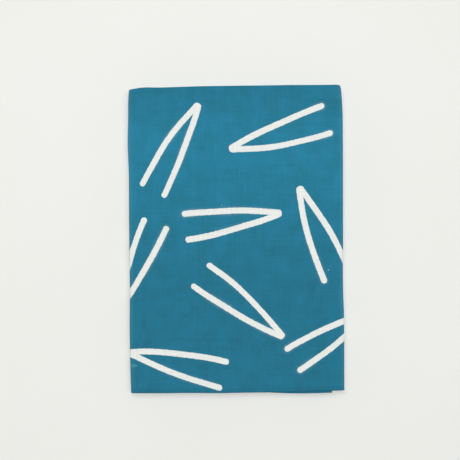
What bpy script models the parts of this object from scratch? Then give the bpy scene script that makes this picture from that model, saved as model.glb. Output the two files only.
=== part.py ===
"""A cotton hand towel folded in half along its length, then back and forth into a flat stack.

Metres, +Z up. X runs from side fold to side fold. +Y ends at the half fold and -Y at the two
selvedges, which lie together at the open edge. The stack lies on z = 0, centred on the origin.
The doubled cloth is one surface, given its thickness by Solidify. A thin cutter parts its two
plies along the open edge, and another makes the underside flat.
"""

from collections import namedtuple

import bmesh
import bpy
import numpy as np

MM = 0.001
LEFT = -1
RIGHT = 1

# Driving sizes
FOLDED_WIDTH = 128.0 * MM
FOLDED_LENGTH = 183.5 * MM
LAYER = 1.0 * MM  # the doubled cloth: two plies pressed together
LAYER_GAP = 0.3 * MM
PITCH = LAYER + LAYER_GAP

# The folds hold the layers further apart at the sides and at the half fold than in the middle
SIDE_SPRING = 0.7 * MM
SIDE_SPRING_REACH = 13.0 * MM
SIDE_LEVEL_WIDTH = 4.0 * MM
HALF_FOLD_SPRING = 0.5 * MM
HALF_FOLD_SPRING_REACH = 16.0 * MM
SLACK_WAVE = 0.15 * MM
SLACK_WAVELENGTH = 74.0 * MM
SLACK_SLANT = 0.4
SLACK_CROSSING = 0.6

# How far a side fold pulls the half fold in at its crown
CORNER_DRAW = 0.8 * MM

# The slit between the two plies at the open edge
PARTING = 0.24 * MM
PARTING_DEPTH = 18.0 * MM
PARTING_INNER_SHARE = 0.7
CUTTER_OVERRUN = 0.6 * MM

# How far the lowest layer is pressed flat on the surface under it, and the slab that does it
PRESSED_FLAT = 0.02 * MM
SLAB_DEPTH = 2.0 * MM
SLAB_MARGIN = 5.0 * MM

# Where a panel bends, as distances in from either side fold; one more station is in the middle
PANEL_STATIONS = np.array([0.0, 2.2, 5.2, 13.0, 32.0]) * MM
TURN_STEPS = 6

# How far each side stands out of the folded rectangle, in sections along Y (mm)
SideRow = namedtuple("SideRow", "y left right")
SIDES = (
    SideRow(-91.75, -0.4, -0.3),
    SideRow(-82.0, -0.1, -0.2),
    SideRow(-66.0, 0.1, -0.1),
    SideRow(-44.0, 0.05, -0.1),
    SideRow(-35.0, 0.0, -0.4),
    SideRow(0.0, 0.0, -0.2),
    SideRow(26.0, 0.0, 0.0),
    SideRow(41.0, -0.1, 0.1),
    SideRow(60.0, 0.3, 0.2),
    SideRow(77.0, 0.0, 0.1),
    SideRow(85.0, -0.2, -0.15),
    SideRow(88.5, -0.6, -0.6),
    SideRow(90.2, -0.9, -1.0),
    SideRow(91.75, -1.1, -1.8),
)

# How far the open edge and the half fold stand out of the rectangle, in sections along X (mm)
EndRow = namedtuple("EndRow", "x open_edge half_fold")
ENDS = (
    EndRow(-64.0, -0.8, -1.9),
    EndRow(-61.0, -0.4, -1.2),
    EndRow(-57.5, -0.2, -0.5),
    EndRow(-48.0, -0.1, -0.3),
    EndRow(-7.0, 0.0, 0.0),
    EndRow(29.0, -0.25, 0.05),
    EndRow(57.5, -0.4, 0.05),
    EndRow(61.0, -0.75, -0.2),
    EndRow(64.0, -1.0, -1.3),
)

# The two cut ends and the six side folds in the order of the cloth, and how far each lies inside
# the outline at its side, at the open edge and at the half fold (mm). The last cut end shows
# past the open edge.
Turn = namedtuple("Turn", "side inset open_in fold_in")
TURNS = (
    Turn(LEFT, 9.0, 0.8, 0.9),
    Turn(RIGHT, 0.7, 0.5, 0.9),
    Turn(LEFT, 0.9, 0.9, 0.6),
    Turn(RIGHT, 0.4, 0.4, 0.5),
    Turn(LEFT, 0.6, 0.8, 0.8),
    Turn(RIGHT, 0.0, 0.0, 0.0),
    Turn(LEFT, 0.0, 0.0, 0.0),
    Turn(RIGHT, 7.2, -0.9, 0.4),
)

# The level of each panel between two turns, counted from the bottom. Both cut ends are tucked
# in: the first panel lies on the second, and the last lies under the one before it.
LEVELS = (2, 1, 3, 4, 5, 7, 6)
TOP_LEVEL = max(LEVELS)

# One row of points along the cloth: a share of the way from the open edge to the half fold, a
# distance added to it, and the share of the full thickness there
Row = namedtuple("Row", "share offset fullness")
NOSE_ROWS = (
    Row(1.0, -0.50 * MM, 1.00),
    Row(1.0, -0.17 * MM, 0.80),
    Row(1.0, 0.00 * MM, 0.42),
)
CUTTER_ROWS = (
    Row(0.0, -CUTTER_OVERRUN, 1.0),
    Row(0.0, PARTING_DEPTH / 2, 1.0),
    Row(0.0, PARTING_DEPTH, PARTING_INNER_SHARE),
)

DYED_COTTON = (0.024, 0.209, 0.332, 1.0)
DYED_COTTON_ROUGHNESS = 0.9


def from_table(rows, column, places):
    """Reads a column in millimetres at these places in metres, and gives metres."""
    stations = [row[0] for row in rows]
    values = [getattr(row, column) for row in rows]
    return np.interp(places / MM, stations, values) * MM


def height(level, x, y):
    """The middle of a level: its place in the pile, raised by its springy folds and by slack."""
    from_side = FOLDED_WIDTH / 2 - SIDE_LEVEL_WIDTH - np.abs(x)
    from_half_fold = FOLDED_LENGTH / 2 - y
    spring = SIDE_SPRING * np.exp(-np.maximum(from_side, 0) / SIDE_SPRING_REACH)
    spring += HALF_FOLD_SPRING * np.exp(-np.maximum(from_half_fold, 0) / HALF_FOLD_SPRING_REACH)
    wave = 2 * np.pi / SLACK_WAVELENGTH
    slack = SLACK_WAVE * np.sin(wave * (x + SLACK_SLANT * y)) * np.cos(SLACK_CROSSING * wave * y)
    flat = LAYER / 2 - PRESSED_FLAT + (level - 1) * PITCH
    return flat + (level - 1) / (TOP_LEVEL - 1) * (spring + slack)


def outermost(index, y):
    """X of a side fold's crown, or of a cut end, at these places along Y."""
    turn = TURNS[index]
    column = "left" if turn.side == LEFT else "right"
    return turn.side * (FOLDED_WIDTH / 2 + from_table(SIDES, column, y) - turn.inset * MM)


def rise(index, y):
    """The heights at which the cloth goes into a side fold and comes out of it."""
    x = outermost(index, y)
    return height(LEVELS[index - 1], x, y), height(LEVELS[index], x, y)


def bend_start(index, y):
    """X where a panel ends: a side fold's crown less its outer radius, or a cut end."""
    if index in (0, len(TURNS) - 1):
        return outermost(index, y)
    into, out_of = rise(index, y)
    return outermost(index, y) - TURNS[index].side * (np.abs(out_of - into) + LAYER) / 2


def panel(index, y):
    """A panel's stations: x and z, and how far its two ends lie inside the outline (mm)."""
    near = PANEL_STATIONS / FOLDED_WIDTH
    along = np.concatenate([near, [0.5], 1 - near[::-1]])[:, None]
    x = (1 - along) * bend_start(index, y) + along * bend_start(index + 1, y)
    z = height(LEVELS[index], x, y)
    first, second = TURNS[index], TURNS[index + 1]
    open_in = (1 - along) * first.open_in + along * second.open_in
    fold_in = (1 - along) * first.fold_in + along * second.fold_in
    return x, z, open_in + 0 * x, fold_in + 0 * x


def side_fold(index, y):
    """A side fold's stations between its two panels: half a circle from one level to the other."""
    turned = np.linspace(0, np.pi, TURN_STEPS + 1)[1:-1, None]
    into, out_of = rise(index, y)
    turn = TURNS[index]
    x = bend_start(index, y) + turn.side * np.abs(out_of - into) / 2 * np.sin(turned)
    z = (into + out_of) / 2 - (out_of - into) / 2 * np.cos(turned)
    fold_in = turn.fold_in + CORNER_DRAW / MM * np.sin(turned)
    return x, z, turn.open_in + 0 * x, fold_in + 0 * x


def cloth_points(rows):
    """The middle of the doubled cloth, as a grid of stations from one cut end to the other."""
    share = np.array([row.share for row in rows])
    offset = np.array([row.offset for row in rows])
    y = (share - 0.5) * FOLDED_LENGTH + offset
    stretches = [panel(0, y)]
    for index in range(1, len(LEVELS)):
        stretches.append(side_fold(index, y))
        stretches.append(panel(index, y))
    x, z, open_in, fold_in = (np.concatenate(parts) for parts in zip(*stretches))
    low = -FOLDED_LENGTH / 2 - from_table(ENDS, "open_edge", x) + open_in * MM
    high = FOLDED_LENGTH / 2 + from_table(ENDS, "half_fold", x) - fold_in * MM
    return np.stack([x, low + share * (high - low) + offset, z], axis=-1)


def surface_object(name, rows, points, thickness, collection):
    """One surface through a grid of points, with the thickness that its rows ask for."""
    stations, across = points.shape[:2]
    corner = (np.arange(stations - 1)[:, None] * across + np.arange(across - 1)).ravel()
    quads = np.stack([corner, corner + across, corner + across + 1, corner + 1], axis=-1)
    mesh = bpy.data.meshes.new(name)
    mesh.from_pydata(points.reshape(-1, 3).tolist(), [], quads.tolist())
    mesh.update()
    mesh.shade_smooth()
    obj = bpy.data.objects.new(name, mesh)
    collection.objects.link(obj)
    fullness = obj.vertex_groups.new(name="fullness")
    for position, row in enumerate(rows):
        fullness.add(range(position, len(mesh.vertices), across), row.fullness, "REPLACE")
    solidify = obj.modifiers.new("cloth thickness", "SOLIDIFY")
    solidify.thickness = thickness
    solidify.offset = 0.0
    solidify.use_even_offset = True
    solidify.vertex_group = fullness.name
    return obj


def past_cut_ends(points, overrun):
    """The same grid with its first and last stations moved out past the two cut ends."""
    longer = points.copy()
    longer[0, :, 0] -= overrun
    longer[-1, :, 0] += overrun
    return longer


def slab_under(name, collection):
    """A slab whose upper face is the surface that the towel lies on."""
    size = (FOLDED_WIDTH + 2 * SLAB_MARGIN, FOLDED_LENGTH + 2 * SLAB_MARGIN, SLAB_DEPTH)
    slab = bmesh.new()
    bmesh.ops.create_cube(slab, size=1.0)
    bmesh.ops.scale(slab, vec=size, verts=slab.verts)
    bmesh.ops.translate(slab, vec=(0.0, 0.0, -SLAB_DEPTH / 2), verts=slab.verts)
    mesh = bpy.data.meshes.new(name)
    slab.to_mesh(mesh)
    slab.free()
    obj = bpy.data.objects.new(name, mesh)
    collection.objects.link(obj)
    return obj


def cut(obj, cutter, name):
    """Takes the cutter's shape out of an object and hides the cutter."""
    cutter.hide_render = True
    cutter.display_type = "WIRE"
    difference = obj.modifiers.new(name, "BOOLEAN")
    difference.operation = "DIFFERENCE"
    difference.object = cutter


def dyed_cotton():
    material = bpy.data.materials.new("teal dyed cotton")
    material.use_nodes = True
    shader = material.node_tree.nodes["Principled BSDF"]
    shader.inputs["Base Color"].default_value = DYED_COTTON
    shader.inputs["Roughness"].default_value = DYED_COTTON_ROUGHNESS
    shader.inputs["Metallic"].default_value = 0.0
    return material


def new_collection(name):
    collection = bpy.data.collections.new(name)
    bpy.context.scene.collection.children.link(collection)
    return collection


def main():
    for obj in list(bpy.data.objects):
        bpy.data.objects.remove(obj)
    towel = new_collection("tenugui_towel")
    cutters = new_collection("cutters")

    plain_rows = [Row(0.5 + row.y * MM / FOLDED_LENGTH, 0.0, 1.0) for row in SIDES[:-1]]
    cloth_rows = (*plain_rows, *NOSE_ROWS)
    cloth_grid = cloth_points(cloth_rows)
    cutter_grid = past_cut_ends(cloth_points(CUTTER_ROWS), CUTTER_OVERRUN)
    middle = (cloth_grid.min(axis=(0, 1)) + cloth_grid.max(axis=(0, 1))) / 2
    to_origin = -middle * (1, 1, 0)

    cloth = surface_object("tenugui_cloth", cloth_rows, cloth_grid + to_origin, LAYER, towel)
    cloth.data.materials.append(dyed_cotton())

    slit = surface_object("parting_cutter", CUTTER_ROWS, cutter_grid + to_origin, PARTING, cutters)
    cut(cloth, slit, "parted plies")
    cut(cloth, slab_under("floor_cutter", cutters), "flat underside")


main()
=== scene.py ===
"""A tenugui, a thin cotton hand towel dyed teal with scattered pine needles, folded on a pale floor.

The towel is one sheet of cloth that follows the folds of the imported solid. It is folded in half
along its length, and then back and forth across its width in seven panels. Metres, +Z up. X runs
from side fold to side fold, +Y ends at the half fold, and both selvedges lie together at -Y.
"""

import math
from collections import namedtuple

import bpy
import numpy as np
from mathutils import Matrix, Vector


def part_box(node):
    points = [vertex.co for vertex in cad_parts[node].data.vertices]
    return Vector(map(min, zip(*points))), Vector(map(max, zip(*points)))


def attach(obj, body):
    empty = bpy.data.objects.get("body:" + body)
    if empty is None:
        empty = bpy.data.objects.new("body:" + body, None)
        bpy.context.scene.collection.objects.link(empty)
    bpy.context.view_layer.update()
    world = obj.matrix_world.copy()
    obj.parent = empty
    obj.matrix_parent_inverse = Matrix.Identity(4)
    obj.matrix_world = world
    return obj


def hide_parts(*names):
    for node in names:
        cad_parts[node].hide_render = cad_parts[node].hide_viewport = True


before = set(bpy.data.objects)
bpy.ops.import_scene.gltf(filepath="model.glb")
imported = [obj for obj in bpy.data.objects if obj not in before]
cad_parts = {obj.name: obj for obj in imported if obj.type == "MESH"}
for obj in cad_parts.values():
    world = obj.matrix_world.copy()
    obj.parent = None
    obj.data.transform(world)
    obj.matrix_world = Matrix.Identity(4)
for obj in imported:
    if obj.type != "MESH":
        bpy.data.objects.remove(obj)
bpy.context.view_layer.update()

MM = 0.001
LEFT = -1
RIGHT = 1
CLOTH_NODE = "tenugui_cloth"

# The folded towel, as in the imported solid
FOLDED_WIDTH = 128.0 * MM
FOLDED_LENGTH = 183.5 * MM
LAYER = 1.0 * MM  # the doubled cloth, two plies
PITCH = 1.3 * MM  # from one layer to the next

# The plies. A ply of this cotton is really about 0.3 mm thick, with its nap a little more.
PLY = 0.40 * MM
HALF_FOLD_RADIUS = 0.30 * MM  # at the middle of the ply, so the plies lie 0.2 mm apart

# The folds hold the layers further apart at the sides and at the half fold than in the middle
SIDE_SPRING = 0.7 * MM
SIDE_SPRING_REACH = 13.0 * MM
SIDE_LEVEL_WIDTH = 4.0 * MM
HALF_FOLD_SPRING = 0.5 * MM
HALF_FOLD_SPRING_REACH = 16.0 * MM

# How far in from a side fold's bend the cloth is painted paler: a painted highlight where the fold's
# rounding catches the light, with a little wear
FOLD_HIGHLIGHT_REACH = 0.9 * MM

# How far a side fold pulls the half fold in at its crown
CORNER_DRAW = 0.2 * MM

# Slack in the cloth: waves that cross the pile on a slant, most at the top of it
Wave = namedtuple("Wave", "height length angle phase")
SLACK = (
    Wave(0.13, 74.0, 22.0, 0.0),
    Wave(0.07, 47.0, -35.0, 1.9),
    Wave(0.05, 33.0, 71.0, 4.1),
    Wave(0.03, 19.0, 8.0, 2.6),
)

# Each layer's own slack above the lowest, at most 0.2 mm between two that lie 0.3 mm apart
OWN_SLACK = (Wave(0.07, 67.0, 28.0, 0.0), Wave(0.035, 31.0, -50.0, 1.1))
OWN_PHASE = 2.4

# Beyond the tucked cut ends the layers above sink into the gap by this much
SAG = 0.55 * MM
Gap = namedtuple("Gap", "side reach lowest_above")
GAPS = (Gap(LEFT, 10.0, 3), Gap(RIGHT, 9.0, 7))

# Soft ridges (+) and troughs (-) pressed into the pile, placed on the top panel (mm, degrees)
Crease = namedtuple("Crease", "x y angle length width height")
CREASES = (
    Crease(-50.0, 62.0, 86.0, 48.0, 5.0, 0.22),
    Crease(-23.0, 74.0, 12.0, 34.0, 5.5, -0.16),
    Crease(19.0, 80.0, -4.0, 52.0, 6.0, -0.20),
    Crease(44.0, 52.0, 64.0, 30.0, 5.0, 0.15),
    Crease(-4.0, 6.0, 3.0, 96.0, 11.0, -0.14),
    Crease(-36.0, -52.0, 24.0, 44.0, 7.0, -0.18),
    Crease(33.0, -44.0, -58.0, 40.0, 6.0, 0.16),
    Crease(6.0, -74.0, 78.0, 22.0, 6.0, 0.12),
)

# How far each side stands out of the folded rectangle, in sections along Y (mm)
SideRow = namedtuple("SideRow", "y left right")
SIDES = (
    SideRow(-91.75, 0.1, -0.25),
    SideRow(-82.0, 0.3, -0.2),
    SideRow(-66.0, 0.55, -0.1),
    SideRow(-44.0, 0.5, -0.1),
    SideRow(-35.0, 0.35, -0.4),
    SideRow(0.0, 0.35, -0.2),
    SideRow(26.0, 0.3, 0.0),
    SideRow(41.0, 0.25, 0.1),
    SideRow(60.0, 0.75, 0.2),
    SideRow(77.0, 0.3, 0.1),
    SideRow(85.0, 0.2, -0.25),
    SideRow(88.5, 0.0, -0.55),
    SideRow(90.2, -0.15, -0.7),
    SideRow(91.75, -0.25, -1.0),
)

# How far the open edge and the half fold stand out of the rectangle, and the tucked end's selvedges
# out of the open edge, in sections along X (mm)
EndRow = namedtuple("EndRow", "x open_edge half_fold tucked")
ENDS = (
    EndRow(-64.0, -0.1, -1.75, 0.0),
    EndRow(-63.0, -0.1, -1.55, 0.0),
    EndRow(-60.6, -0.15, -1.2, 0.0),
    EndRow(-57.5, -0.15, -0.7, 0.0),
    EndRow(-45.0, -0.1, -0.55, 0.0),
    EndRow(-22.0, -0.05, -0.05, 0.0),
    EndRow(-7.0, -0.1, 0.05, 0.0),
    EndRow(14.0, 0.05, 0.15, 0.0),
    EndRow(22.0, 0.0, 0.2, 0.4),
    EndRow(31.0, -0.1, 0.25, 0.85),
    EndRow(45.0, -0.3, 0.15, 1.05),
    EndRow(57.5, -0.55, 0.05, 1.25),
    EndRow(61.0, -0.62, 0.05, 1.25),
    EndRow(64.0, -0.75, -0.5, 1.25),
)

# The two cut ends and the six side folds in the order of the cloth, and how far each lies inside
# the outline at its side, at the open edge and at the half fold (mm)
Turn = namedtuple("Turn", "side inset open_in fold_in")
TURNS = (
    Turn(LEFT, 9.0, 0.8, 0.9),
    Turn(RIGHT, 0.7, 0.5, 0.9),
    Turn(LEFT, 0.9, 0.9, 0.6),
    Turn(RIGHT, 0.4, 0.4, 0.5),
    Turn(LEFT, 0.6, 0.8, 0.8),
    Turn(RIGHT, 0.0, 0.0, 0.0),
    Turn(LEFT, 0.0, 0.0, 0.0),
    Turn(RIGHT, 7.4, 0.0, 0.4),
)

# The level of each panel between two turns, counted from the bottom
LEVELS = (2, 1, 3, 4, 5, 7, 6)
TOP_LEVEL = max(LEVELS)

# Unevenness that the solid leaves out (mm)
FOLD_WAVER = (Wave(0.16, 61.0, 0.0, 0.4), Wave(0.09, 23.0, 0.0, 2.2))
SELVEDGE_WAVER = (Wave(0.20, 131.0, 0.0, 0.9), Wave(0.10, 37.0, 0.0, 3.3))
HIDDEN_UNTIL = 610.0 * MM  # along the cloth: the panels up to here lie under the last two
HIDDEN_FADE = 30.0 * MM
HIDDEN_WAVER = 1.0  # how much more their selvedges waver
PLY_STAGGER = 0.45 * MM  # one ply's selvedge stops short of the other's by up to this
STAGGER_LENGTH = 310.0 * MM
STAGGER_PHASE = 0.6
PLY_RIPPLE = 0.04 * MM
PLY_RIPPLE_LENGTH = 29.0 * MM
PLY_RIPPLE_PHASE = 2.0  # radians that one ply's ripple runs ahead, and the other's behind
PLY_RIPPLE_FADE = 3  # the power by which it dies away up the ply
TURN_PHASE = 1.7  # radians between the waver of one fold and of the next

# The grid: intervals along a panel, round a side fold, up a ply and round the half fold
PANEL_STEPS = 40
TURN_STEPS = 13
PLY_STEPS = 46
HALF_FOLD_STEPS = 8
EVEN_SHARE = 0.25  # the rest of the spacing is drawn together towards both ends

# The pattern: pine needles in pairs, placed in a repeat that runs on round the folds. A pair's
# middle is given right and down from the upper face's top left corner (mm), with the way that its
# tips point (degrees), its length, the way between its tips and how far each needle bows out (mm).
FACE_CORNER_ALONG = 756.2  # where that corner lies on the cloth, along and across it (mm)
FACE_CORNER_ACROSS = 181.9
REPEAT_ALONG = 146.0
REPEAT_ACROSS = 190.0
Pair = namedtuple("Pair", "right down angle length opening bow")
PAIRS = (
    Pair(29.0, 36.0, 242.0, 56.0, 15.0, 1.7),
    Pair(91.0, 29.0, 16.0, 58.0, 17.0, 1.9),
    Pair(63.0, 80.0, 188.0, 56.0, 15.0, 1.4),
    Pair(114.0, 88.0, 292.0, 56.0, 16.0, 2.0),
    Pair(6.0, 106.0, 66.0, 52.0, 14.0, 1.5),
    Pair(68.0, 131.0, 142.0, 60.0, 16.0, 1.9),
    Pair(121.0, 150.0, 212.0, 52.0, 15.0, 1.6),
    Pair(29.0, 165.0, 346.0, 56.0, 16.0, 1.8),
)
NEEDLE_WIDTH = 3.5
JOINT_GAP = 0.5  # from a pair's axis to the middle of each needle, at the joint
SWAY = 1.1  # how far the lines stray, in bends this long, as drawn by hand
SWAY_SIZE = 34.0
DYE_EDGE = 0.45  # how far the dye fades into a line
DYE_CREEP = 0.30  # how far it creeps in and out along the edge, in bends this long
DYE_CREEP_SIZE = 1.6
SPECK_SPACING = 6.5  # specks of resist strayed this far apart beside the lines
SPECK_RADIUS = 0.5
SPECK_EDGE = 0.02  # in shares of the spacing
SPECK_REACH = 4.5
NO_SPECK = 0.5  # the share of the places that have none
HAZE = 0.06  # how much of the dye is kept off just beside a line, in patches about this large
HAZE_SIZE = 34.0
HAZE_REACH = 1.8
HAZE_FROM, HAZE_FULL = 0.54, 0.64  # the noise at which a patch starts and is full
SMUDGE = (3.6, -166.0, 0.0)  # where a little resist kept off some dye, right and up from the corner
SMUDGE_SIZE = (2.7, 1.3, 1.0)  # its half axes
SMUDGE_CORE = 0.3  # the share of them up to which it is even
SMUDGE_STRENGTH = 0.5

# The cloth (mm). Its threads are really 0.5 mm apart, and are drawn coarser so that they show.
THREAD_SPACING = 0.8
THREAD_CRIMP = 0.6  # how far a thread rises and dips along itself, against its roundness across
THREAD_WANDER = 2.6  # how far the threads bend aside, in radians of their own wave
WANDER_SCALE = 0.11  # in bends of about 9 mm
THREAD_RELIEF = 0.13
RELIEF_STRENGTH = 0.7
THREAD_HIGHLIGHT_AND_SHADE = (0.14, 0.875)  # painted highlight on a thread's top, and the tone of the painted shade in the gaps
THREAD_ROUGHNESS = (0.95, 0.84)  # in the gaps and on top
SLUB_LENGTH = 26.0
SLUB_SCALE = 0.8  # how many slubs there are in that length, and across a thread
SLUB_RELIEF = 0.5  # against a thread's
SLUB_TONE = (0.16, 0.84)
SELVEDGE_BAND = 3.0
SELVEDGE_FADE = 0.5
SELVEDGE_TONE = 0.93
CUT_END_BAND = 1.6
CUT_END_LOSS = 0.5
FOLD_HIGHLIGHT_AND_WEAR = 0.18  # how much of the paler colour shows on a fold: painted highlight with a little wear
# Painted shade, as a tone by share of the way from the half fold to the selvedges: darker at the half
# fold and beyond a quarter of the way
PAINTED_SHADE = ((0.0, 0.87), (0.07, 0.92), (0.15, 1.0), (0.23, 1.0), (0.65, 0.83), (1.0, 0.83))
MOTTLE_SIZE = 11.0
DYE = ((0.30, "#20758E"), (0.72, "#2480A1"))  # by the mottle's noise
# painted highlight on the folds, with a little wear
HIGHLIGHT_AND_WEAR_COLOUR = "#4C93AC"
SMUDGED = "#58A6B0"
UNDYED = "#E4E8E5"
FRAYED = "#86B4C2"

# The paper that the towel lies on: how far out and how high, from its flat part up its low wall (m)
PAPER_PROFILE = ((1.4, 0.0), (1.6, 0.02), (1.78, 0.09), (1.92, 0.21), (2.02, 0.38), (2.07, 0.58),
                 (2.08, 0.8))
PAPER_SIDES = 72
FLOOR_DROP = 0.02 * MM  # so that it doesn't touch the underside
PAPER_TONES = ("#E4E6E2", "#E7E9E6")
PAPER_CLOUDS = 9.0  # to a metre

# The lamps, which face the towel: place and sides in metres, power in watts
Lamp = namedtuple("Lamp", "name place sides power")
LAMPS = (
    Lamp("overhead_lamp", (0.1, -0.1, 4.8), (0.8, 0.8), 90.0),
    Lamp("softbox", (1.3, 0.15, 4.8), (0.7, 2.2), 57.0),
    Lamp("top_lamp", (-0.07, 0.24, 0.9), (0.4, 0.4), 3.1),
)
LAMP_COLOUR = "#FFFDFC"
ROOM_COLOUR = "#F7F8F7"
ROOM_STRENGTH = 0.115

# The picture, which takes in this much at the towel's face
VIEW_WIDTH = 275.1 * MM
LENS = 80.0
FACE_HEIGHT = 9.0 * MM
TOWEL_OFF_CENTRE = Vector((3.7, -5.6)) * MM
CAMERA_TURN = math.radians(-0.53)
CAMERA_CLIP = (0.05, 10.0)

# The kinds of node that the materials use most
MATH, VECTOR = "ShaderNodeMath", "ShaderNodeVectorMath"
NOISE, MAP_RANGE = "ShaderNodeTexNoise", "ShaderNodeMapRange"
MIX, RAMP = "ShaderNodeMix", "ShaderNodeValToRGB"
SEPARATE = "ShaderNodeSeparateXYZ"

# A Mix node's sockets for colours share their names with those for numbers, so they go by number
MIX_SHARE, MIX_UNDER, MIX_OVER, MIX_RESULT = 0, 6, 7, 2


def from_table(rows, column, places):
    """A table's column (mm) at places (m): cubics between rows, with slopes from the rows beside."""
    stations = np.array([row[0] for row in rows]) * MM
    values = np.array([getattr(row, column) for row in rows]) * MM
    slopes = np.gradient(values, stations)
    place = np.clip(places, stations[0], stations[-1])
    low = np.clip(np.searchsorted(stations, place) - 1, 0, len(stations) - 2)
    span = stations[low + 1] - stations[low]
    along = (place - stations[low]) / span
    from_low = (1 + 2 * along) * values[low] + along * span * slopes[low]
    from_high = (3 - 2 * along) * values[low + 1] - (1 - along) * span * slopes[low + 1]
    return (1 - along) ** 2 * from_low + along**2 * from_high


def waves(table, along, across=0.0, phase=0.0):
    """A sum of sines. Each runs in its own direction, with its height and length in millimetres."""
    total = 0.0
    for wave in table:
        angle = math.radians(wave.angle)
        run = along * math.cos(angle) + across * math.sin(angle)
        turned = 2 * np.pi * run / (wave.length * MM)
        total = total + wave.height * MM * np.sin(turned + wave.phase + phase)
    return total


def creases(x, y):
    """Soft ridges and troughs: across each, a bell curve; along it, one that is flatter on top."""
    total = 0.0
    for crease in CREASES:
        angle = math.radians(crease.angle)
        from_x, from_y = x - crease.x * MM, y - crease.y * MM
        along = (from_x * math.cos(angle) + from_y * math.sin(angle)) / (crease.length / 2 * MM)
        across = (from_y * math.cos(angle) - from_x * math.sin(angle)) / (crease.width * MM)
        total = total + crease.height * MM * np.exp(-(across**2) - along**4)
    return total


def sag(level, x):
    """How far a level sinks beyond the tucked ends: a smooth step towards the side, else nothing."""
    total = 0.0
    for gap in GAPS:
        beyond = (gap.side * x - FOLDED_WIDTH / 2) / (gap.reach * MM) + 1
        share = np.clip(beyond, 0, 1)
        total = total + SAG * (level >= gap.lowest_above) * share**2 * (3 - 2 * share)
    return total


def height(level, x, y):
    """The middle of a level: its place in the pile, raised by its springy folds, slack and creases."""
    from_side = FOLDED_WIDTH / 2 - SIDE_LEVEL_WIDTH - np.abs(x)
    from_half_fold = FOLDED_LENGTH / 2 - y
    spring = SIDE_SPRING * np.exp(-np.maximum(from_side, 0) / SIDE_SPRING_REACH)
    spring = spring + HALF_FOLD_SPRING * np.exp(-np.maximum(from_half_fold, 0) / HALF_FOLD_SPRING_REACH)
    lift = spring + waves(SLACK, x, y) + creases(x, y)
    own = waves(OWN_SLACK, x, y, phase=OWN_PHASE * level) * (level > 1)
    in_pile = LAYER / 2 + (level - 1) * PITCH - sag(level, x)
    return in_pile + own + (level - 1) / (TOP_LEVEL - 1) * lift


def outermost(index, y):
    """X of a side fold's crown, or of a cut end, with its own slow waver."""
    turn = TURNS[index]
    column = "left" if turn.side == LEFT else "right"
    waver = waves(FOLD_WAVER, y, phase=TURN_PHASE * index) * (turn.inset > 0)
    return turn.side * (FOLDED_WIDTH / 2 + from_table(SIDES, column, y) - turn.inset * MM + waver)


def rise(index, y):
    """The heights at which the cloth goes into a side fold and comes out of it."""
    x = outermost(index, y)
    return height(LEVELS[index - 1], x, y), height(LEVELS[index], x, y)


def bend_start(index, y):
    """X where a panel ends: a side fold's crown less its outer radius, or a cut end."""
    if index in (0, len(TURNS) - 1):
        return outermost(index, y)
    into, out_of = rise(index, y)
    return outermost(index, y) - TURNS[index].side * (np.abs(out_of - into) + LAYER) / 2


def spaced(steps):
    """Shares from 0 to 1, closer together towards both ends: part even, part half a cosine wave."""
    even = np.linspace(0.0, 1.0, steps + 1)
    return EVEN_SHARE * even + (1 - EVEN_SHARE) * (1 - np.cos(np.pi * even)) / 2


def panel(index, y):
    """A panel: straight in X from one bend to the next, at the height of its level."""
    along = spaced(PANEL_STEPS)[:, None]
    x = (1 - along) * bend_start(index, y) + along * bend_start(index + 1, y)
    first, second = TURNS[index], TURNS[index + 1]
    open_in = (1 - along) * first.open_in + along * second.open_in
    fold_in = (1 - along) * first.fold_in + along * second.fold_in
    if index == len(LEVELS) - 1:
        open_in = open_in - from_table(ENDS, "tucked", x) / MM
    near_fold = 0.0
    for at in (index, index + 1):
        if 0 < at < len(TURNS) - 1:
            near_fold = near_fold + np.exp(-((x - bend_start(at, y)) / FOLD_HIGHLIGHT_REACH) ** 2)
    z = height(LEVELS[index], x, y)
    return np.stack(np.broadcast_arrays(x, z, open_in * MM, fold_in * MM, near_fold))


def side_fold(index, y):
    """A side fold: half a circle from one level to the other, its crown drawn in at the half fold."""
    turned = np.linspace(0, np.pi, TURN_STEPS + 1)[1:-1, None]
    into, out_of = rise(index, y)
    turn = TURNS[index]
    x = bend_start(index, y) + turn.side * np.abs(out_of - into) / 2 * np.sin(turned)
    z = (into + out_of) / 2 - (out_of - into) / 2 * np.cos(turned)
    fold_in = turn.fold_in * MM + CORNER_DRAW * np.sin(turned)
    # the whole bend takes the painted highlight and wear
    highlight_and_wear = 1.0
    return np.stack(np.broadcast_arrays(x, z, turn.open_in * MM, fold_in, highlight_and_wear))


def length_along(points):
    """The distance along a row of points from its first one."""
    steps = np.linalg.norm(np.diff(points, axis=0), axis=1)
    return np.concatenate([[0.0], np.cumsum(steps)])


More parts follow.
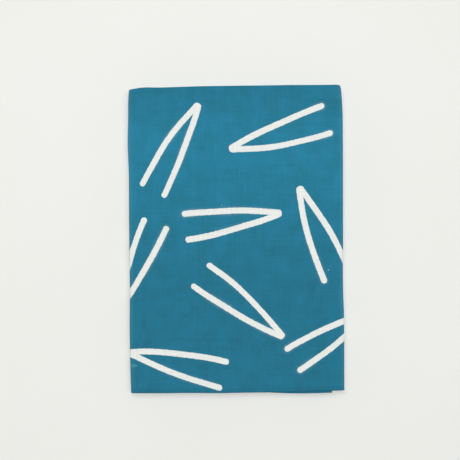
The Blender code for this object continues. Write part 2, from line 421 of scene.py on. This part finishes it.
def cloth_surface():
    """The sheet's points, its flat coordinates and its painted fold highlight and wear, by station and
    row.

    Rows go from one selvedge up a ply, half a circle round the half fold, and down the other ply to
    the second selvedge. Stations go from one cut end to the other, over the panels and round the side
    folds. A ply lies HALF_FOLD_RADIUS off the middle of the doubled cloth, along its normal.
    """
    up = spaced(PLY_STEPS)
    round_it = np.linspace(0, np.pi, HALF_FOLD_STEPS + 1)[1:-1]
    share = np.concatenate([up, np.ones(len(round_it)), up[::-1]])
    side = np.concatenate([np.ones(len(up)), np.cos(round_it), -np.ones(len(up))])
    bulge = np.concatenate([0 * up, np.sin(round_it), 0 * up])
    y = (share - 0.5) * FOLDED_LENGTH

    stretches = [panel(0, y)]
    for index in range(1, len(LEVELS)):
        stretches.append(side_fold(index, y))
        stretches.append(panel(index, y))
    x, z, open_in, fold_in, near_fold = np.concatenate(stretches, axis=1)

    middle_row = PLY_STEPS // 2
    along = length_along(np.stack([x[:, middle_row], z[:, middle_row]], axis=1))[:, None]

    step_x, step_z = np.gradient(x, axis=0), np.gradient(z, axis=0)
    step = np.hypot(step_x, step_z)
    normal_x, normal_z = -step_z / step, step_x / step

    staggering = 0.5 + 0.5 * np.sin(2 * np.pi * along / STAGGER_LENGTH + STAGGER_PHASE)
    stagger = PLY_STAGGER * staggering * (side > 0)
    hidden = np.clip((HIDDEN_UNTIL - along) / HIDDEN_FADE, 0, 1)
    waver = waves(SELVEDGE_WAVER, along, phase=np.where(side > 0, 0.0, TURN_PHASE))
    waver = waver * (1 + HIDDEN_WAVER * hidden)
    low = -FOLDED_LENGTH / 2 - from_table(ENDS, "open_edge", x) + open_in + stagger + waver
    high = FOLDED_LENGTH / 2 + from_table(ENDS, "half_fold", x) - fold_in - PLY / 2 - HALF_FOLD_RADIUS
    y = low + share * (high - low) + bulge * HALF_FOLD_RADIUS

    ripple = np.sin(2 * np.pi * along / PLY_RIPPLE_LENGTH + PLY_RIPPLE_PHASE * side)
    rippled = PLY_RIPPLE * ripple * (1 - share) ** PLY_RIPPLE_FADE * np.abs(side)
    off = side * HALF_FOLD_RADIUS + rippled
    pressed_flat = np.maximum(z + off * normal_z, PLY / 2)
    points = np.stack([x + off * normal_x, y, pressed_flat], axis=-1)

    middle_station = len(along) // 2
    across = length_along(points[middle_station])
    flat = np.stack(np.broadcast_arrays(across[None, :], along), axis=-1)
    # the side folds and the half fold take the painted highlight and wear
    highlight_and_wear = np.maximum(near_fold, bulge)
    return points, flat, highlight_and_wear


def grid_object(name, points, flat, highlight_and_wear):
    """A mesh through a grid of points, with its flat coordinates as UV maps and its painted fold
    highlight and wear at each point.

    The first map is in metres, for the patterns. The second runs from 0 to 1 each way.
    """
    stations, across = points.shape[:2]
    corner = (np.arange(stations - 1)[:, None] * across + np.arange(across - 1)).ravel()
    quads = np.stack([corner, corner + across, corner + across + 1, corner + 1], axis=-1)
    mesh = bpy.data.meshes.new(name)
    mesh.from_pydata(points.reshape(-1, 3), [], quads)
    mesh.update()
    mesh.shade_smooth()
    at_corners = flat.reshape(-1, 2)[quads.ravel()]
    shares = at_corners / at_corners.max(axis=0)
    for map_name, values in (("cloth_flat", at_corners), ("OFBake", shares)):
        uv_map = mesh.uv_layers.new(name=map_name)
        uv_map.data.foreach_set("uv", values.astype(np.float32).ravel())
    attribute = mesh.attributes.new("fold_highlight_and_wear", "FLOAT", "POINT")
    attribute.data.foreach_set("value", highlight_and_wear.astype(np.float32).ravel())
    obj = bpy.data.objects.new(name, mesh)
    bpy.context.scene.collection.objects.link(obj)
    return obj


def linear(hex_colour):
    """An sRGB hex colour as linear red, green, blue and alpha."""
    channels = [int(hex_colour[at:at + 2], 16) / 255 for at in (1, 3, 5)]
    straight = [c / 12.92 if c <= 0.04045 else ((c + 0.055) / 1.055) ** 2.4 for c in channels]
    return (*straight, 1.0)


def add(tree, kind, inputs, **settings):
    """Adds a node, makes its settings, and sets or links its inputs, given in order or by name.

    A node given as an input is linked by its first output.
    """
    made = tree.nodes.new(kind)
    for name, value in settings.items():
        setattr(made, name, value)
    named = inputs if isinstance(inputs, dict) else dict(enumerate(inputs))
    for socket, value in named.items():
        if isinstance(value, bpy.types.Node):
            value = value.outputs[0]
        if isinstance(value, bpy.types.NodeSocket):
            tree.links.new(value, made.inputs[socket])
        else:
            made.inputs[socket].default_value = value
    return made


def weave(tree, in_mm):
    """How high the upper thread of a plain weave stands, from 0 to 1, and how round the weft is.

    Each thread is rounded across as the size of a sine. It rises and dips along itself, by the
    roundness of the threads that it crosses, as it passes over and under them.
    """
    wander = add(tree, NOISE, {"Vector": in_mm, "Scale": WANDER_SCALE, "Detail": 2.0})
    ways = add(tree, SEPARATE, [in_mm])
    sets = []
    for across_thread, reach in (("X", THREAD_WANDER), ("Y", -THREAD_WANDER)):
        turns = add(tree, MATH, [ways.outputs[across_thread], math.pi / THREAD_SPACING],
                    operation="MULTIPLY")
        bent = add(tree, MATH, [wander, reach, turns], operation="MULTIPLY_ADD")
        wave = add(tree, MATH, [bent], operation="SINE")
        sets.append((wave, add(tree, MATH, [wave], operation="ABSOLUTE")))
    (warp_wave, warp_round), (weft_wave, weft_round) = sets
    crossing = add(tree, MATH, [warp_wave, weft_wave], operation="MULTIPLY")
    warp_over = add(tree, MATH, [crossing], operation="SIGN")
    warp_up = add(tree, MATH, [weft_round, warp_over], operation="MULTIPLY")
    weft_down = add(tree, MATH, [warp_round, warp_over], operation="MULTIPLY")
    warp_height = add(tree, MATH, [warp_up, THREAD_CRIMP, warp_round], operation="MULTIPLY_ADD")
    weft_height = add(tree, MATH, [weft_down, -THREAD_CRIMP, weft_round], operation="MULTIPLY_ADD")
    upper = add(tree, MATH, [warp_height, weft_height], operation="MAXIMUM")
    return add(tree, MATH, [upper, 1 + THREAD_CRIMP], operation="DIVIDE"), weft_round


def thick_and_thin(tree, in_mm):
    """Slubs along the threads of both sets: two noises, each drawn out along its own set, added."""
    thin, long = 1 / THREAD_SPACING, 1 / SLUB_LENGTH
    both = []
    for stretch in ((thin, long, 1.0), (long, thin, 1.0)):
        stretched = add(tree, VECTOR, [in_mm, stretch], operation="MULTIPLY")
        both.append(add(tree, NOISE, {"Vector": stretched, "Scale": SLUB_SCALE, "Detail": 1.0}))
    return add(tree, MATH, both, operation="ADD")


def place_in_pattern(tree, in_mm):
    """A point's way right and up from the upper face's top left corner, strayed by two noises.

    The large one sways the lines as drawn by hand. With the small one the dye creeps into their edges.
    """
    moved = in_mm
    for size, reach, detail in ((DYE_CREEP_SIZE, DYE_CREEP, 2.0), (SWAY_SIZE, SWAY, 0.0)):
        noise = add(tree, NOISE, {"Vector": in_mm, "Scale": 1 / size, "Detail": detail})
        way = add(tree, VECTOR, [noise.outputs["Color"], (0.5, 0.5, 0.5)], operation="SUBTRACT")
        moved = add(tree, VECTOR, [way, (2 * reach, 2 * reach, 0.0), moved], operation="MULTIPLY_ADD")
    ways = add(tree, SEPARATE, [moved])
    right = add(tree, MATH, [FACE_CORNER_ALONG, ways.outputs["Y"]], operation="SUBTRACT")
    up = add(tree, MATH, [FACE_CORNER_ACROSS, ways.outputs["X"]], operation="SUBTRACT")
    return add(tree, "ShaderNodeCombineXYZ", [right, up])


def needle_distance(tree, place, pair):
    """How far a point is from the middle line of the nearer needle of a pair that repeats (mm).

    The pair is turned so that X runs from its joint to its tips. Both needles are one line from the
    joint, because Y is made positive, and it bows by a parabola: 4 * bow * (share - share squared).
    """
    half_repeat = (REPEAT_ALONG / 2, REPEAT_ACROSS / 2, 1.0)
    tip = Vector((pair.length, pair.opening / 2 - JOINT_GAP, 0.0))
    from_middle = add(tree, VECTOR, [place, (pair.right, -pair.down, 0.0)], operation="SUBTRACT")
    nearest = add(tree, VECTOR, [from_middle, half_repeat, tuple(-half for half in half_repeat)],
                  operation="WRAP")
    turned = add(tree, "ShaderNodeVectorRotate",
                 {"Vector": nearest, "Angle": -math.radians(pair.angle)}, rotation_type="Z_AXIS")
    apart = add(tree, SEPARATE, [turned])
    beside = add(tree, MATH, [apart.outputs["Y"]], operation="ABSOLUTE")
    folded = add(tree, "ShaderNodeCombineXYZ", [apart.outputs["X"], beside])
    from_joint = add(tree, VECTOR, [folded, (pair.length / 2, -JOINT_GAP, 0.0)], operation="ADD")
    projected = add(tree, VECTOR, [from_joint, tip / tip.length_squared], operation="DOT_PRODUCT")
    share = add(tree, "ShaderNodeClamp", [projected.outputs["Value"]])
    squared = add(tree, MATH, [share, share], operation="MULTIPLY")
    parabola = add(tree, MATH, [share, squared], operation="SUBTRACT")
    on_line = add(tree, VECTOR, {"Vector": tip, "Scale": share}, operation="SCALE")
    off_line = add(tree, VECTOR, [from_joint, on_line], operation="SUBTRACT")
    off_bow = add(tree, VECTOR, [parabola, (0.0, -4 * pair.bow, 0.0), off_line],
                  operation="MULTIPLY_ADD")
    return add(tree, VECTOR, [off_bow], operation="LENGTH").outputs["Value"]


def kept_white(tree, in_mm, place):
    """How much of the dye the resist kept off: all in the lines and specks, a little in the haze."""
    nearest = needle_distance(tree, place, PAIRS[0])
    for pair in PAIRS[1:]:
        distance = needle_distance(tree, place, pair)
        nearest = add(tree, MATH, [nearest, distance], operation="MINIMUM").outputs[0]
    line_edge = NEEDLE_WIDTH / 2
    in_line = add(tree, MAP_RANGE,
                  {"Value": nearest, "From Min": line_edge + DYE_EDGE / 2,
                   "From Max": line_edge - DYE_EDGE / 2},
                  interpolation_type="SMOOTHSTEP")

    # Specks of resist that strayed beside the lines, of random sizes, half of them none
    cells = add(tree, "ShaderNodeTexVoronoi", {"Vector": in_mm, "Scale": 1 / SPECK_SPACING})
    lot = add(tree, "ShaderNodeSeparateColor", [cells.outputs["Color"]])
    radius = add(tree, MAP_RANGE,
                 {"Value": lot, "From Min": NO_SPECK, "To Max": SPECK_RADIUS / SPECK_SPACING})
    depth = add(tree, MATH, [radius, cells.outputs["Distance"]], operation="SUBTRACT")
    speck = add(tree, MAP_RANGE, {"Value": depth, "From Max": SPECK_EDGE})
    beside_line = add(tree, MAP_RANGE,
                      {"Value": nearest, "From Min": line_edge + SPECK_REACH, "From Max": line_edge})
    strayed = add(tree, MATH, [speck, beside_line], operation="MULTIPLY")

    # In patches the dye stopped a little short of the lines, so that their edges are hazy there
    patches = add(tree, NOISE, {"Vector": in_mm, "Scale": 1 / HAZE_SIZE, "Detail": 1.0})
    patch = add(tree, MAP_RANGE,
                {"Value": patches, "From Min": HAZE_FROM, "From Max": HAZE_FULL, "To Max": HAZE})
    towards_line = add(tree, MAP_RANGE,
                       {"Value": nearest, "From Min": line_edge + HAZE_REACH, "From Max": line_edge},
                       interpolation_type="SMOOTHSTEP")
    haze = add(tree, MATH, [patch, towards_line], operation="MULTIPLY")
    clear = add(tree, MATH, [in_line, strayed], operation="MAXIMUM")
    return add(tree, MATH, [clear, haze], operation="MAXIMUM")


def dye_and_painted_shade(tree, in_mm, from_fold):
    """Teal that took unevenly, in soft clouds a centimetre or so across.

    It is darkened by painted shade at the half fold, and again beyond a quarter of the way to the
    selvedges.
    """
    mottle = add(tree, NOISE,
                 {"Vector": in_mm, "Scale": 1 / MOTTLE_SIZE, "Detail": 4.0, "Roughness": 0.6})
    teal = add(tree, RAMP, [mottle])
    for step, (noise, colour) in zip(teal.color_ramp.elements, DYE):
        step.position = noise
        step.color = linear(colour)
    # painted shade, darker at the half fold and towards the selvedges
    depth = add(tree, RAMP, [from_fold])
    steps = depth.color_ramp.elements
    for _ in PAINTED_SHADE[len(steps):]:
        steps.new(0.5)
    for step, (share, tone) in zip(steps, PAINTED_SHADE):
        step.position = share
        step.color = (tone, tone, tone, 1.0)
    return add(tree, VECTOR, [teal, depth], operation="MULTIPLY")


def dyed_cotton(width, length):
    """Plain-weave cotton, dyed through with a reactive dye round lines kept white by a resist.

    To the eye it is matt, with a fine grain of crossing threads, thick and thin places along them,
    dye that has taken a little unevenly, and lines whose edges are soft where the dye crept in. Painted
    shade darkens it at the half fold, towards the selvedges and between the threads, and painted
    highlight pales the folds and the tops of the threads.
    """
    material = bpy.data.materials.new("dyed plain-weave cotton")
    material.use_nodes = True
    tree = material.node_tree
    shader = tree.nodes["Principled BSDF"]

    flat = add(tree, "ShaderNodeUVMap", {}, uv_map="cloth_flat")
    in_mm = add(tree, VECTOR, {"Vector": flat, "Scale": 1 / MM}, operation="SCALE")
    threads, weft_round = weave(tree, in_mm)
    slubs = thick_and_thin(tree, in_mm)
    place = place_in_pattern(tree, in_mm)
    undyed = kept_white(tree, in_mm, place)

    # A faint smudge near the left fold of the upper face
    from_smudge = add(tree, VECTOR, [place, SMUDGE], operation="SUBTRACT")
    in_axes = add(tree, VECTOR, [from_smudge, SMUDGE_SIZE], operation="DIVIDE")
    smudge_radius = add(tree, VECTOR, [in_axes], operation="LENGTH")
    smudge = add(tree, MAP_RANGE,
                 {"Value": smudge_radius.outputs["Value"], "From Min": 1.0, "From Max": SMUDGE_CORE,
                  "To Max": SMUDGE_STRENGTH})

    # The selvedges are woven closer, and the cut ends have lost a few threads and some dye
    half_width, half_length = width / 2 / MM, length / 2 / MM
    from_middle = add(tree, VECTOR, [in_mm, (half_width, half_length, 0.0)], operation="SUBTRACT")
    to_edge = add(tree, VECTOR, [from_middle], operation="ABSOLUTE")
    edges = add(tree, SEPARATE, [to_edge])
    selvedge = add(tree, MAP_RANGE,
                   {"Value": edges.outputs["X"], "From Min": half_width - SELVEDGE_BAND,
                    "From Max": half_width - SELVEDGE_BAND + SELVEDGE_FADE, "To Min": 1.0,
                    "To Max": SELVEDGE_TONE})
    cut_end = add(tree, MAP_RANGE,
                  {"Value": edges.outputs["Y"], "From Min": half_length - CUT_END_BAND,
                   "From Max": half_length, "To Max": CUT_END_LOSS})
    frayed = add(tree, MATH, [cut_end, weft_round], operation="MULTIPLY")

    # the painted shade goes by the share of the way from the half fold to the selvedges
    from_fold = add(tree, MATH, [edges.outputs["X"], 2 * MM / width], operation="MULTIPLY")
    colour = dye_and_painted_shade(tree, in_mm, from_fold).outputs[0]
    # Folds painted paler: a painted highlight where their rounding catches the light, with a little
    # wear
    highlight_and_wear_node = add(tree, "ShaderNodeAttribute", {}, attribute_name="fold_highlight_and_wear")
    highlight_and_wear_share = add(tree, MATH, [highlight_and_wear_node.outputs["Fac"], FOLD_HIGHLIGHT_AND_WEAR], operation="MULTIPLY")
    for share, over in ((highlight_and_wear_share, HIGHLIGHT_AND_WEAR_COLOUR), (smudge, SMUDGED), (undyed, UNDYED), (frayed, FRAYED)):
        mixed = add(tree, MIX, {MIX_SHARE: share, MIX_UNDER: colour, MIX_OVER: linear(over)},
                    data_type="RGBA")
        colour = mixed.outputs[MIX_RESULT]

    # Painted highlight on the tops of the threads, and painted shade in the gaps between them
    thread_highlight_and_shade = add(tree, MATH, [threads, *THREAD_HIGHLIGHT_AND_SHADE], operation="MULTIPLY_ADD")
    slub_tone = add(tree, MATH, [slubs, *SLUB_TONE], operation="MULTIPLY_ADD")
    tone = add(tree, MATH, [thread_highlight_and_shade, slub_tone], operation="MULTIPLY")
    closer_tone = add(tree, MATH, [tone, selvedge], operation="MULTIPLY")
    toned = add(tree, VECTOR, {"Vector": colour, "Scale": closer_tone}, operation="SCALE")
    relief = add(tree, MATH, [slubs, SLUB_RELIEF, threads], operation="MULTIPLY_ADD")
    bump = add(tree, "ShaderNodeBump",
               {"Strength": RELIEF_STRENGTH, "Distance": THREAD_RELIEF * MM, "Height": relief})
    in_gaps, on_top = THREAD_ROUGHNESS
    dull = add(tree, MAP_RANGE, {"Value": threads, "To Min": in_gaps, "To Max": on_top})
    for made, socket in ((toned, "Base Color"), (bump, "Normal"), (dull, "Roughness")):
        tree.links.new(made.outputs[0], shader.inputs[socket])
    shader.inputs["IOR"].default_value = 1.45
    shader.inputs["Specular IOR Level"].default_value = 0.25
    shader.inputs["Sheen Weight"].default_value = 0.06
    shader.inputs["Sheen Roughness"].default_value = 0.5
    return material


def folded_cloth():
    """The towel: one sheet through all its folds, given its ply's thickness."""
    points, flat, highlight_and_wear = cloth_surface()
    low, high = points.min(axis=(0, 1)), points.max(axis=(0, 1))
    node_low, node_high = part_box(CLOTH_NODE)
    middle_x = (node_low[0] + node_high[0] - low[0] - high[0]) / 2
    to_half_fold = node_high[1] - high[1] - PLY / 2
    points = points + (middle_x, to_half_fold, 0.0)
    cloth = grid_object("folded_cloth", points, flat, highlight_and_wear)
    solidify = cloth.modifiers.new("ply thickness", "SOLIDIFY")
    solidify.thickness = PLY
    solidify.offset = 0.0
    solidify.use_even_offset = True
    width, length = (float(side) for side in flat.max(axis=(0, 1)))
    cloth.data.materials.append(dyed_cotton(width, length))
    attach(cloth, "root")
    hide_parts(CLOTH_NODE)


def pale_paper():
    """Smooth matt paper, rolled: near white and even, with only a trace of cloudiness."""
    material = bpy.data.materials.new("matt rolled paper")
    material.use_nodes = True
    tree = material.node_tree
    shader = tree.nodes["Principled BSDF"]
    place = add(tree, "ShaderNodeTexCoord", {})
    cloud = add(tree, NOISE, {"Vector": place.outputs["Object"], "Scale": PAPER_CLOUDS, "Detail": 3.0})
    tone = add(tree, RAMP, [cloud])
    for step, colour in zip(tone.color_ramp.elements, PAPER_TONES):
        step.color = linear(colour)
    tree.links.new(tone.outputs[0], shader.inputs["Base Color"])
    shader.inputs["Roughness"].default_value = 0.8
    shader.inputs["Specular IOR Level"].default_value = 0.2
    return material


def floor():
    """Pale paper just under the towel, with a low wall all round: a profile carried round Z."""
    round_it = np.linspace(0, 2 * np.pi, PAPER_SIDES, endpoint=False)[:, None]
    out, up = np.array(PAPER_PROFILE).T
    rings = np.stack([out * np.cos(round_it), out * np.sin(round_it), up + 0 * round_it], axis=-1)
    points = rings.reshape(-1, 3) - (0, 0, FLOOR_DROP)
    start = np.arange(PAPER_SIDES) * len(out)
    after = np.roll(start, -1)
    faces = [tuple(start)]
    for step in range(len(out) - 1):
        faces += list(zip(start + step, start + step + 1, after + step + 1, after + step))
    mesh = bpy.data.meshes.new("floor")
    mesh.from_pydata(points, [], faces)
    mesh.update()
    mesh.shade_smooth()
    paper = bpy.data.objects.new("floor", mesh)
    bpy.context.scene.collection.objects.link(paper)
    mesh.materials.append(pale_paper())


def studio():
    """Light from overhead, softer and dimmer light from the right, and dimmer pale surroundings.

    Only the light from the right gives a shadow that shows from above. A small lamp near the top of
    the picture makes the floor there a little brighter. A lamp's second side is the one tilted up.
    """
    for row in LAMPS:
        lamp = bpy.data.lights.new(row.name, "AREA")
        lamp.shape = "RECTANGLE"
        lamp.size, lamp.size_y = row.sides
        lamp.energy = row.power
        lamp.color = linear(LAMP_COLOUR)[:3]
        holder = bpy.data.objects.new(row.name, lamp)
        holder.location = row.place
        holder.rotation_euler = (-Vector(row.place)).to_track_quat("-Z", "Y").to_euler()
        bpy.context.scene.collection.objects.link(holder)
    world = bpy.data.worlds.new("pale room")
    world.use_nodes = True
    background = world.node_tree.nodes["Background"]
    background.inputs["Color"].default_value = linear(ROOM_COLOUR)
    background.inputs["Strength"].default_value = ROOM_STRENGTH
    bpy.context.scene.world = world
    bpy.context.scene.view_settings.view_transform = "Standard"


def camera():
    """Straight above the towel and turned a little, so that the towel lies as in the picture."""
    data = bpy.data.cameras.new("view_from_above")
    data.lens = LENS
    distance = VIEW_WIDTH / 2 / math.tan(data.angle / 2)
    data.clip_start, data.clip_end = CAMERA_CLIP
    view = bpy.data.objects.new("view_from_above", data)
    view.location = (-TOWEL_OFF_CENTRE.x, -TOWEL_OFF_CENTRE.y, FACE_HEIGHT + distance)
    view.rotation_euler = (0.0, 0.0, CAMERA_TURN)
    bpy.context.scene.collection.objects.link(view)
    bpy.context.scene.camera = view


camera()
folded_cloth()
floor()
studio()
